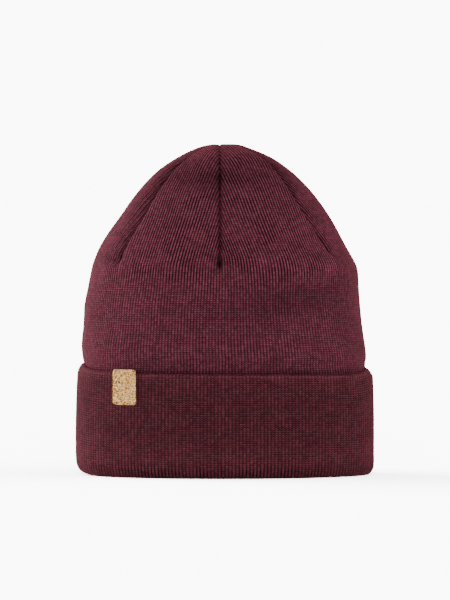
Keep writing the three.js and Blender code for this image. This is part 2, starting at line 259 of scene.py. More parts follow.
# Soft folds and swellings: middle, half spans, slope in mm of height for each degree, depth inwards.
FOLD_COLUMNS = [
    ("turn", float),
    ("z", float),
    ("half_turn", float),
    ("half_rise", float),
    ("slope", float),
    ("depth", float),
]
FOLDS = np.array(
    [
        (30.0, 116.0, 34.0, 12.0, 0.26, 2.4),
        (52.0, 138.0, 22.0, 8.0, 0.0, -1.0),
        (58.0, 104.0, 10.0, 20.0, 0.0, 1.0),
        (76.0, 100.0, 12.0, 20.0, 0.0, 0.6),
        (-58.0, 106.0, 14.0, 14.0, 0.0, 0.8),
        (-20.0, 196.0, 24.0, 7.0, -0.1, 2.2),
        (20.0, 199.0, 20.0, 6.0, 0.0, 1.6),
        (90.0, 217.0, 50.0, 4.0, 0.0, -0.5),
        (150.0, 118.0, 30.0, 12.0, -0.2, 1.8),
        (215.0, 100.0, 28.0, 10.0, 0.2, 1.5),
    ],
    dtype=FOLD_COLUMNS,
)

# ---------------------------------------------------------------- label

LABEL_WIDTH = 16.8
LABEL_DROP = 23.1  # from the top of its fold to its lower edge
LABEL_BACK_DROP = 20.0
LABEL_THICKNESS = 0.8
LABEL_LIFT = 1.1  # how far the centre of its fold stands above the centre of the rim
LABEL_CORNER = 2.0
LABEL_FOLD_ROUND = 1.3  # its upper corners, rounded by the fold
LABEL_EDGE_ROUND = 0.2
LABEL_EDGE_ANGLE = 50.0  # degrees: only edges that turn by more than this are rounded
LABEL_TURN = -42.5
LABEL_SKEW = 0.5  # how far it runs to the left for each mm inwards, folded a little askew
LABEL_PLUMB = 0.035  # how far it runs to the right for each mm down, so that it hangs straight
LABEL_ROWS = (9, 14, 15, 8)  # points round its front corners, down its front, over the fold, down its back
LABEL_COLUMNS = 25

# Worked out from the sizes above.
RIM_ROUND = KNIT_WALL / 2
LABEL_BEND_RADIUS = RIM_ROUND + PIECE_GAP + LABEL_THICKNESS
LABEL_FRONT = LABEL_DROP - LABEL_BEND_RADIUS
LABEL_BEND = math.pi * (LABEL_BEND_RADIUS - LABEL_THICKNESS / 2)
LABEL_LENGTH = LABEL_FRONT + LABEL_BEND + LABEL_BACK_DROP


# ---------------------------------------------------------------- small helpers


def smoothstep(x, low, high):
    """A share from 0 to 1 between two values: three times its square less twice its cube."""
    share = np.clip((x - low) / (high - low), 0.0, 1.0)
    return share * share * (3.0 - 2.0 * share)


def bell(offset, half):
    """One in the middle, and off it e to the minus square of the offset in half spans."""
    return np.exp(-((offset / half) ** 2))


def spline(values, key):
    """Catmull-Rom curve through evenly keyed values, carried on straight past both ends."""
    first = 2 * values[0] - values[1]
    last = 2 * values[-1] - values[-2]
    padded = np.concatenate([[first], values, [last]])
    start = np.clip(np.floor(key).astype(int), 0, len(values) - 2)
    f = key - start
    p0, p1, p2, p3 = (padded[start + step] for step in range(4))
    bend = (2 * p0 - 5 * p1 + 4 * p2 - p3) * f**2
    twist = (3 * p1 - p0 - 3 * p2 + p3) * f**3
    return p1 + 0.5 * ((p2 - p0) * f + bend + twist)


def oval_speed(a, b, turn):
    """Length along an oval for each radian, at a turn."""
    return np.hypot(a * np.cos(turn), b * np.sin(turn))


def oval_length(a, b, turn):
    """Length along an oval up to each turn of a row: the sum of the steps between them, each of them
    the mean speed at its two ends times its turn."""
    speed = oval_speed(a, b, turn)
    steps = (speed[..., 1:] + speed[..., :-1]) / 2 * np.diff(turn)
    return np.concatenate([np.zeros_like(steps[..., :1]), np.cumsum(steps, axis=-1)], axis=-1)


def new_object(name, data):
    """An object that holds some data, linked to the scene."""
    made = bpy.data.objects.new(name, data)
    bpy.context.scene.collection.objects.link(made)
    return made


def grid_faces(rows, columns):
    """Corners of each cell of a grid, so that the face points to the cross of its rows and columns."""
    i, j = np.meshgrid(np.arange(rows - 1), np.arange(columns - 1), indexing="ij")
    corner = (i * columns + j).ravel()
    return np.stack([corner, corner + columns, corner + columns + 1, corner + 1], axis=1)


def closed_mesh(name, patches, material):
    """One mesh from grid patches in mm, each a pair of points and pattern values. Points that fall
    together become one vertex, and a cell that loses a corner this way becomes a triangle. The first
    two pattern values are the UV map, and a third is painted shading: painted shade that darkens the
    knit, and painted light where it is below none."""
    decimals = 4  # to which points have to agree, in mm, to fall together
    points = np.concatenate([p.reshape(-1, 3) for p, _ in patches])
    pattern = np.concatenate([values.reshape(-1, values.shape[-1]) for _, values in patches])
    faces = []
    offset = 0
    for patch, _ in patches:
        faces.append(grid_faces(*patch.shape[:2]) + offset)
        offset += patch.shape[0] * patch.shape[1]
    faces = np.concatenate(faces)
    rounded = np.round(points, decimals)
    _, first, merged = np.unique(rounded, axis=0, return_index=True, return_inverse=True)
    corners = merged.reshape(-1)[faces]
    kept = corners != np.roll(corners, 1, axis=1)
    quads = kept.sum(axis=1) == 4
    triangles = kept.sum(axis=1) == 3
    fours = corners[quads]
    threes = corners[triangles][kept[triangles]].reshape(-1, 3)
    used = np.concatenate([faces[quads].ravel(), faces[triangles][kept[triangles]]])
    corner_pattern = pattern[used].astype(np.float32)
    mesh = bpy.data.meshes.new(name)
    mesh.from_pydata((points[first] * MM).tolist(), [], fours.tolist() + threes.tolist())
    mesh.uv_layers.new(name="surface").data.foreach_set("uv", corner_pattern[:, :2].ravel())
    if corner_pattern.shape[1] > 2:
        painted_shading = mesh.attributes.new("painted_shading", "FLOAT", "CORNER")
        painted_shading.data.foreach_set("value", corner_pattern[:, 2].copy())
    mesh.shade_smooth()
    mesh.materials.append(material)
    mesh.update()
    return new_object(name, mesh)


def unevenness(turn, z, amount):
    """The hang of soft knit: an amount times the sum of the waves, each the sine of its turns round
    the hat and its height by its climb, so that they slope up the hat differently."""
    total = 0.0
    for wave in WAVES:
        phase = wave["crests"] * turn + z / wave["climb"] + wave["start"]
        total = total + wave["share"] * np.sin(phase)
    return amount * total


def rib_inset(across, z):
    """Depth of the grooves between wales: none over the rib, and in the groove, at whole numbers of
    wales, the full depth times the relief at that height."""
    from_groove = np.abs(across - np.round(across)) * 2
    relief = np.interp(z, RELIEF["z"], RELIEF["relief"])
    return RIB_DEPTH * relief * (1 - smoothstep(from_groove, 0.0, RIB_SIDE))


# ---------------------------------------------------------------- cuff's shape


def cuff_size(z):
    """Half width and half depth of the cuff's face: the sides draw in with the square of the height
    from the fullest level, and the front and back lean out evenly."""
    above = (z - CUFF_FULLEST) / CUFF_HEIGHT
    return HAT_WIDTH / 2 - CUFF_DRAW_IN * above**2, CUFF_DEPTH / 2 + CUFF_LEAN_OUT * above


def near_end(turn):
    """How near a turn is to the two ends of the oval: a high even power of its sine."""
    return np.sin(turn) ** CUFF_END_POWER


def cuff_edge(turn):
    """Height of the cuff's upper edge: tilted from left to right, and raised at the two ends."""
    tilt = CUFF_TILT * np.sin(turn) * np.abs(np.sin(turn))
    return CUFF_HEIGHT - tilt + CUFF_END_RISE * near_end(turn)


def cuff_point(turn, inset, z):
    """A point at a distance inside the cuff's face, measured square to the oval. The rim curls in
    and thins at the two ends, with the square of the height."""
    a, b = cuff_size(z)
    share = np.clip(1 - (cuff_edge(turn) - z) / CUFF_RIM_HEIGHT, 0, 1)
    thin = CUFF_RIM_THIN * np.clip(1 - inset / KNIT_WALL, 0, 1)
    curl = CUFF_RIM_CURL + CUFF_RIM_CURL_RIGHT * np.sin(turn)
    curl = (curl + thin) * near_end(turn) * share**2
    out = np.stack([b * np.sin(turn), -a * np.cos(turn), np.zeros_like(turn + z)], axis=-1)
    out = out / np.linalg.norm(out, axis=-1, keepdims=True)
    face = np.stack([a * np.sin(turn), -b * np.cos(turn), z + np.zeros_like(turn)], axis=-1)
    return face - out * (inset + curl)[..., None]


def oval_corner(inset, z, reach, rise, start, stop, rows):
    """Points of an elliptic arc between two angles in quarter turns, as insets and heights."""
    angle = np.linspace(start, stop, rows)[:, None] * math.pi / 2
    return inset + reach * np.cos(angle), z + rise * np.sin(angle)


def cuff_section(turn):
    """The cuff's section at each turn, as insets and heights: down the face, under the hem fold, up
    its inner leg, down into the slit, up the back and over the rim."""
    top = cuff_edge(turn) - RIM_ROUND
    lift = HEM_LEFT_LIFT * near_end(turn) * (np.sin(turn) < 0)
    rise = HEM_OUTER_RISE - HEM_OUTER_SLACK * np.sin(turn)
    whole = 2 * KNIT_WALL + SLIT
    inner = whole - HEM_INNER_REACH
    inner_height = lift + HEM_INNER_RISE
    slit_middle = KNIT_WALL + SLIT / 2
    slit_floor = lift + slit_middle
    face = np.linspace(1, 0, FACE_ROWS)[:, None]
    back = np.linspace(0, 1, BACK_ROWS)[1:-1, None]
    parts = [
        (0 * face, lift + rise + (top - lift - rise) * face),
        oval_corner(HEM_OUTER_REACH, lift + rise, HEM_OUTER_REACH, rise, 2, 3, HEM_OUTER_ROWS),
        oval_corner(inner, inner_height, HEM_INNER_REACH, HEM_INNER_RISE, -1, 0, HEM_INNER_ROWS),
        (np.array([[whole], [KNIT_WALL + SLIT]]), np.full((2, 1), HEM_RETURN)),
        oval_corner(slit_middle, slit_floor, SLIT / 2, SLIT / 2, 0, -2, SLIT_ROWS),
        (KNIT_WALL + 0 * back, slit_floor + (top - slit_floor) * back),
        oval_corner(RIM_ROUND, top, RIM_ROUND, RIM_ROUND, 0, 2, RIM_ROWS),
    ]
    inset = np.concatenate([np.broadcast_to(i, (len(i), turn.size)) for i, _ in parts])
    z = np.concatenate([np.broadcast_to(h, (len(h), turn.size)) for _, h in parts])
    return inset, z


def make_cuff(material):
    """The cuff's section swept round the oval, with wales spaced evenly along it. On its face lie the
    ribs and the waves."""
    fine = np.linspace(0, 2 * math.pi, CUFF_STEPS)
    length = oval_length(*cuff_size(CUFF_HEIGHT / 2), fine)
    wales = (np.arange(CUFF_WALES)[:, None] + SAMPLES_ACROSS_WALE).ravel()
    wales = np.append(wales, CUFF_WALES)
    turn = np.interp(wales / CUFF_WALES * length[-1], length, fine)[None, :]
    inset, z = cuff_section(turn)

    outside = np.clip(1 - inset / KNIT_WALL, 0, 1)
    ribs = rib_inset(wales, z) * outside
    wave = unevenness(turn, z * CUFF_WAVE_PACE, CUFF_WAVE)
    wave = wave * smoothstep(z, CUFF_WAVES_FROM, CUFF_WAVES_FULL)
    wave = wave * smoothstep(inset, CUFF_WAVES_END_INSIDE, CUFF_WAVES_FULL_INSIDE)
    points = cuff_point(turn, inset + ribs + wave, z)

    run = np.linalg.norm(np.diff(points[:, :1], axis=0), axis=-1)
    courses = np.concatenate([[[0.0]], np.cumsum(run, axis=0)]) / COURSE
    # Painted light on the rim's rounded top and on the face above the hem fold, as painted shading below
    # none.
    light = RIM_LIGHT * bell(cuff_edge(turn) - RIM_ROUND - z, RIM_LIGHT_REACH)
    light = light + HEM_LIGHT * bell(z - HEM_LIGHT_HEIGHT, HEM_LIGHT_REACH)
    pattern = np.stack(np.broadcast_arrays(wales, courses, -light * outside), axis=-1)
    # The last row of cells leads back to the first row of points, one course further on.
    points = np.concatenate([points, points[:1]])
    pattern = np.concatenate([pattern, pattern[-1:] + [0, 1, 0]])
    return closed_mesh("cuff_knit", [(points, pattern)], material)


# ---------------------------------------------------------------- crown's shape


def crown_levels():
    """The crown's levels. Inside the cuff it keeps a slit's width off the back of the cuff's wall,
    and above that come its own rows."""
    rows = []
    for z in CROWN_LEVELS_IN_CUFF:
        a, b = cuff_size(z)
        rows.append((z, a - KNIT_WALL - SLIT, b - KNIT_WALL - SLIT, 0.0))
    return np.array(rows + CROWN_ROWS, dtype=LEVEL_COLUMNS)


LEVELS = crown_levels()
TOP_KEY = len(LEVELS) - 1.0


def level_at(key):
    """Height, half width, half depth and lean at a key, which counts the levels up from the hem."""
    return [spline(LEVELS[name], key) for name in ("z", "half_width", "half_depth", "lean")]


def form_point(turn, key):
    """The crown's plain form: an oval whose half axes and sides follow the table of levels, and
    whose mid-line at the front and back moves over to the upright plane of the front seam."""
    z, a, b, lean = level_at(key)
    on_plane = FRONT_SEAM_X - a * math.sin(math.radians(FRONT_SEAM_TURN))
    shift = (on_plane - lean) * smoothstep(z, SHOULDER_FROM, SHOULDER_TO)
    x = lean + a * np.sin(turn) + shift * np.cos(turn) ** 2
    return np.stack([x, -b * np.cos(turn), z + 0 * turn], axis=-1)


def form_normal(turn, key):
    """Outward direction of that form, from its slopes along the turn and along the key."""
    step = 0.01
    high = np.minimum(key + step, TOP_KEY - step)
    low = np.maximum(high - 2 * step, 0.0)
    around = form_point(turn + step, high) - form_point(turn - step, high)
    up = form_point(turn, high) - form_point(turn, low)
    normal = np.cross(around, up)
    return normal / np.linalg.norm(normal, axis=-1, keepdims=True)


def seam_depth(z):
    """How far a seam pulls the knit in, which eases off towards the top."""
    eased = smoothstep(z, SEAM_EASE_FROM, CROWN_TOP)
    return SEAM_DEPTH * (1 - (1 - SEAM_TOP_SHARE) * eased)


def seam_turn(seam, z):
    """Turn of a seam at a height: half a sine wave away from the turn at its ends, and below its
    foot the line that its wales go on along, which spreads towards the two ends of the oval with
    the square of the distance down."""
    share = np.clip((z - seam["foot"]) / (CROWN_TOP - seam["foot"]), 0, 1)
    turn = np.radians(seam["turn"] + seam["bow"] * np.sin(np.pi * share))
    spread = np.clip((SPREAD_HIGH - z) / (SPREAD_HIGH - SPREAD_LOW), 0, 1) ** 2
    return turn + math.radians(SPREAD) * np.sin(2 * turn) * spread


def fold_depth(turn, z):
    """All soft folds together: each is a bell along the turn times a bell across its own line."""
    total = 0.0
    for fold in FOLDS:
        away = turn - math.radians(fold["turn"])
        degrees = np.degrees(np.arctan2(np.sin(away), np.cos(away)))
        height = z - fold["z"] - fold["slope"] * degrees
        depth = fold["depth"] * bell(degrees, fold["half_turn"])
        total = total + depth * bell(height, fold["half_rise"])
    return total


def outer_keys():
    """Keys from the top to the hem and the length along the front at each: evenly spaced where the
    crown shows, and a few rows where the cuff hides it."""
    fine = np.linspace(0, TOP_KEY, LEVEL_STEPS)
    z, _, depth, _ = level_at(fine)
    length = np.concatenate([[0], np.cumsum(np.hypot(np.diff(z), np.diff(depth)))])
    shows_from = np.interp(CUFF_HEIGHT - SHOWS_BELOW_EDGE, z, length)
    shown = np.linspace(length[-1], shows_from, OUTER_ROWS - HIDDEN_ROWS)
    hidden = np.linspace(shows_from, 0, HIDDEN_ROWS + 1)[1:]
    lengths = np.concatenate([shown, hidden])
    return np.interp(lengths, length, fine), lengths


def gore_rows():
    """Rows of a gore, its outer face from the top to the hem and its inner face back up: their keys,
    whether they are inside, and the length along the front from the hem."""
    keys, lengths = outer_keys()
    inner_keys = np.linspace(0, TOP_KEY, INNER_ROWS)
    inner_lengths = np.interp(inner_keys, keys[::-1], lengths[::-1])
    key = np.concatenate([keys, inner_keys])[:, None]
    inside = np.concatenate([np.zeros(len(keys)), np.ones(INNER_ROWS)])[:, None]
    return key, inside, np.concatenate([lengths, inner_lengths])[:, None]


def gore_foot(left, right):
    """Height from which a gore narrows: the mean of the feet of its two seams."""
    return (left["foot"] + right["foot"]) / 2


def lay_wales(left, right, z, a, b):
    """Where the wales of a gore run, row by row: parallel to its middle line, and each ends where it
    meets a seam, because its distance from the middle line is held to the gore's half width at that
    level. Gives the distance, the half width, the turn, the wales counted from the middle line and
    the width that half of the wales would take."""
    half = left["wales"] / 2
    count = np.arange(-SPARE_WALES, left["wales"] + SPARE_WALES)
    wales = (count[:, None] + SAMPLES_ACROSS_WALE).ravel() - half
    wales = np.append(wales, half + SPARE_WALES)

    first = seam_turn(left, z)
    last = seam_turn(right, z)
    fine = first + (last - first) * np.linspace(0, 1, GORE_STEPS)
    length = oval_length(a, b, fine)
    half_width = length[:, -1:] / 2

    foot = gore_foot(left, right)
    above = np.maximum(z - foot, 0)
    run_in = foot + WALE_RUN_IN * (1 - np.exp(-above / WALE_RUN_IN))
    rising = np.argsort(z[:, 0])
    widths = np.interp(np.minimum(z, run_in), z[rising, 0], half_width[rising, 0])
    wale_reach = np.where(z > foot, widths, half_width)
    drawn = np.where(wales < 0, left["drawn_right"], right["drawn_left"]) * (np.abs(wales) < half)
    gather = smoothstep(z, GATHER_FROM, GATHER_FULL) * drawn * np.sin(np.pi * wales / half)
    drift = left["slant"] * above + gather
    distance = np.clip(wales / half * wale_reach + drift, -half_width, half_width)
    distance[:, 0] = -half_width[:, 0]
    distance[:, -1] = half_width[:, 0]

    rows = zip(distance + half_width, length, fine)
    turn = np.stack([np.interp(at, lengths, turns) for at, lengths, turns in rows])
    across = (distance - drift) / np.maximum(wale_reach, LEAST_WIDTH) * half
    return distance, half_width, turn, across, wale_reach


def uneven_share(amount, one, other):
    """A share that comes and goes between one and one less twice an amount: what is taken off is the
    amount times one plus the product of two sines."""
    return 1 - amount * (1 + np.sin(one) * np.sin(other))


def pucker_troughs(z, above, away, foot, reach):
    """Troughs between the small ridges beside a dart: a raised cosine of the distance from the seam,
    slanted with height, which dies out away from the seam and right at it."""
    grown = smoothstep(z, foot - PUCKER_BELOW, foot + SEAM_RUN_IN)
    quick, slow = PUCKER_WAVES
    grown = grown * uneven_share(PUCKER_UNEVEN, z / quick + away, z / slow)
    grown = grown * bell(away, PUCKER_REACH) * (reach > PUCKER_FROM_REACH)
    ridges = (away + PUCKER_SLANT * above) / PUCKER_SPACING
    return grown * (0.5 - 0.5 * np.cos(2 * np.pi * ridges)) * smoothstep(away, 0, PUCKER_RUN_IN)


def gore_patch(left, right):
    """One gore of the crown between two seams. Its points lie inside the plain form by the sum of
    the folds, the seams' pull, the ribs, the puckers and the waves, and its inner face by the wall
    and the seam allowance too. The painted shading adds painted shade beside the seams, along the
    sewn lines, in the puckers' troughs, in the pit, below the top, in the folds and just above the
    cuff's edge, and painted light on the swellings."""
    key, inside, along = gore_rows()
    z, a, b, _ = level_at(key)
    distance, half_width, turn, across, wale_reach = lay_wales(left, right, z, a, b)
    half = left["wales"] / 2
    away = half_width - np.abs(distance)
    foot = np.where(distance < 0, left["foot"], right["foot"])
    reach = np.where(distance < 0, left["reach_right"], right["reach_left"])

    started = smoothstep(z, foot, foot + SEAM_RUN_IN)
    pit = PIT_DEPTH * bell(z - foot - PIT_RISE, PIT_RISE)
    line = started * np.exp(-away / STITCH_LINE_REACH)
    pull = (seam_depth(z) * started + pit) * np.exp(-away / reach) + STITCH_LINE_DEPTH * line
    ridge = ALLOWANCE_HEIGHT * started * bell(away, ALLOWANCE_HALF_WIDTH)
    above = np.maximum(z - gore_foot(left, right), 0)
    troughs = pucker_troughs(z, above, away, foot, reach)

    rib_fade = RIB_NEAR_SEAM * np.maximum(wale_reach / half, LEAST_WIDTH)
    shown_rib = np.clip(away / rib_fade, 0, 1)
    ribs = rib_inset(np.where(away > 0, across, half), z)  # both gores meet in a groove
    ribs = ribs * np.where(started > 0, shown_rib, 1) * (1 - inside)
    ribs = ribs * (1 - RIB_FLATTER * np.sin(turn) ** RIB_FLATTER_POWER)
    folds = fold_depth(turn, z)
    inset = folds + pull + ribs + PUCKER_HEIGHT * troughs + inside * (KNIT_WALL + ridge)
    waves = unevenness(turn, z, CROWN_WAVE)
    inset = inset + waves * smoothstep(z, CROWN_WAVES_FROM, CROWN_WAVES_FULL)

    points = form_point(turn, key) - form_normal(turn, key) * inset[..., None]
    depth_at_pole = seam_depth(CROWN_TOP) + STITCH_LINE_DEPTH
    pole = form_point(np.array(0.0), np.array(TOP_KEY))
    points[0] = pole - [0, 0, depth_at_pole]
    points[-1] = pole - [0, 0, depth_at_pole + KNIT_WALL + ALLOWANCE_HEIGHT]

    # Painted shade and painted light, added up into the painted shading.
    shade = np.where(distance < 0, left["shade"], right["shade"])
    quick, slow = STITCH_LINE_WAVES
    stitches = STITCH_LINE_SHADE * (1 - CALM_SHARE * bell(z - CALM_HEIGHT, CALM_HALF_HEIGHT)) * line
    stitches = stitches * uneven_share(STITCH_LINE_UNEVEN, z / quick, z / slow + left["turn"])
    in_pit = bell(away, PIT_SHADE_HALF_WIDTH) * bell(z - foot - PIT_RISE, PIT_SHADE_HALF_HEIGHT)
    near_top = bell(away, TOP_SHADE_HALF_WIDTH) * bell(z - TOP_SHADE_HEIGHT, TOP_SHADE_HALF_HEIGHT)
    painted_shading = shade * started * bell(away, reach) + stitches + PUCKER_SHADE * troughs
    painted_shading = painted_shading + PIT_SHADE * in_pit + TOP_SHADE * near_top + FOLD_SHADE * folds
    painted_shading = painted_shading + RIM_SHADE * bell(z - CUFF_HEIGHT, RIM_SHADE_REACH)
    painted_shading = np.clip(painted_shading, -MOST_LIGHT, 1)
    return points, np.stack(np.broadcast_arrays(across + half, along / COURSE, painted_shading), axis=-1)


def make_crown(material):
    """Six gores, each between a seam and the next one round."""
    patches = []
    for left, right in zip(SEAMS, np.roll(SEAMS, -1)):
        right = right.copy()
        if right["turn"] < left["turn"]:
            right["turn"] += 360
        patches.append(gore_patch(left, right))
    return closed_mesh("crown_knit", patches, material)


# ---------------------------------------------------------------- label's shape


def label_run(along, outer):
    """Inset of the tab's outer or inner face and its height above the cuff's edge, by the distance
    along it: straight down the front, a half circle over the rim, straight down the back."""
    radius = LABEL_BEND_RADIUS - (0 if outer else LABEL_THICKNESS)
    past = along - LABEL_FRONT
    angle = np.clip(past / LABEL_BEND, 0, 1) * math.pi
    straight = np.minimum(past, 0) - np.maximum(past - LABEL_BEND, 0)
    inset = RIM_ROUND - radius * np.cos(angle)
    return inset, LABEL_LIFT - RIM_ROUND + radius * np.sin(angle) + straight


def rounded_by(radius, from_end):
    """How much narrower each side of the tab is near an end whose corners are quarter circles."""
    cut = np.maximum(0, radius - from_end)
    return radius - np.sqrt(radius**2 - cut**2)


def label_grid():
    """Rows and columns over the flat tab in mm, from its front end to its back end. Its front corners
    are rounded, and so are the two that the fold makes at the top."""
    corner_rows, front_rows, bend_rows, back_rows = LABEL_ROWS
    corner = LABEL_CORNER * (1 - np.cos(np.linspace(0, math.pi / 2, corner_rows)))
    front = np.linspace(LABEL_CORNER, LABEL_FRONT, front_rows)[1:-1]
    bend = LABEL_FRONT + LABEL_BEND * np.linspace(0, 1, bend_rows)
    back = np.linspace(LABEL_FRONT + LABEL_BEND, LABEL_LENGTH, back_rows)[1:]
    along = np.concatenate([corner, front, bend, back])[:, None]
    fold_height = label_run(along, True)[1]
    half_width = LABEL_WIDTH / 2 - rounded_by(LABEL_CORNER, along)
    half_width = half_width - rounded_by(LABEL_FOLD_ROUND, fold_height.max() - fold_height)
    return along, np.linspace(-1, 1, LABEL_COLUMNS)[None, :] * half_width


def make_label(material):
    """A strip of cork bent over the cuff's edge: outer face, inner face and the four cut edges
    between them."""
    along, across = label_grid()
    middle = math.radians(LABEL_TURN)
    edge = cuff_edge(middle)
    speed = oval_speed(*cuff_size(edge - LABEL_DROP / 2), middle)
    faces = []
    for outer in (True, False):
        inset, above = label_run(along, outer)
        turn = middle + (across - LABEL_SKEW * inset - LABEL_PLUMB * above) / speed
        faces.append(cuff_point(turn, inset, edge + above))
    out, back = faces
    pattern = np.stack([across, along + 0 * across], axis=-1)

    def strip(one, other, at):
        """A cut edge: one row of cells between two lines of points."""
        return np.stack([one, other], axis=1), np.stack([at, at + LABEL_THICKNESS], axis=1)

    patches = [
        (out[::-1], pattern[::-1]),
        (back, pattern),
        strip(out[:, 0], back[:, 0], pattern[:, 0]),
        strip(back[:, -1], out[:, -1], pattern[:, -1]),
        strip(back[0], out[0], pattern[0]),
        strip(out[-1], back[-1], pattern[-1]),
    ]
    return closed_mesh("cork_tab", patches, material)


# ---------------------------------------------------------------- materials

SMOOTH = {"interpolation_type": "SMOOTHSTEP"}  # for a map range that eases in and out
COLOURS = {"data_type": "RGBA", "output": 2}  # for a mix of two colours


def colour(code):
    """Linear red, green, blue and alpha from an sRGB hex value."""
    channels = [int(code[i : i + 2], 16) / 255 for i in (1, 3, 5)]
    linear = [c / 12.92 if c <= 0.04045 else ((c + 0.055) / 1.055) ** 2.4 for c in channels]
    return (*linear, 1.0)


def add(tree, kind, inputs=None, output=0, **settings):
    """Adds a node with its settings and links, and gives one of its outputs. Each input is a value,
    or the output that is linked to it."""
    node = tree.nodes.new(kind)
    for name, value in settings.items():
        setattr(node, name, value)
    for name, value in (inputs or {}).items():
        if isinstance(value, bpy.types.NodeSocket):
            tree.links.new(value, node.inputs[name])
        else:
            node.inputs[name].default_value = value
    return node.outputs[output] if node.outputs else None


def from_to(value, low, high, first=0.0, last=1.0):
    """Inputs of a map range: the result goes from first to last as the value goes from low to high."""
    return {"Value": value, "From Min": low, "From Max": high, "To Min": first, "To Max": last}


def new_material(name):
    """A material whose nodes are still to be added, and its node tree."""
    material = bpy.data.materials.new(name)
    material.use_nodes = True
    material.node_tree.nodes.clear()
    return material, material.node_tree


# Wool. Sizes are in mm. A noise keeps near a half, and each range says between which of its values a
# colour comes in.
GROOVE_SIDE = (0.05, 0.45)  # wales or courses off a groove's middle: dark up to one, light past the next
LEG_SLANT = 0.9  # courses that the legs of a stitch slant for each wale
STITCH_LEAST = 0.55  # the darkest stitch shows this share of its yarn, the lightest all of it
FIBRE = 0.6  # single fibres are too fine to show, so they are drawn in tufts of this size
FIBRE_RANGE = (0.4, 0.75)
FIBRE_SHARE = 0.5
DYE_PATCH = 9.0
DYE_RANGE = (0.3, 0.7)
WALE_BUMP = 0.5  # height of a wale, against that of a stitch's leg
FIBRE_BUMP = 0.6

# The knit is drawn a little more one way in some patches and the other way in others, so that now
# its wales and now its courses stand out: by what share the painted shade in each groove goes from
# one kind of patch to the other.
PULL_PATCH = 12.0
PULL_RANGE = (0.38, 0.62)
WALE_PULL = (1.19, 0.88)
COURSE_PULL = (0.76, 1.12)


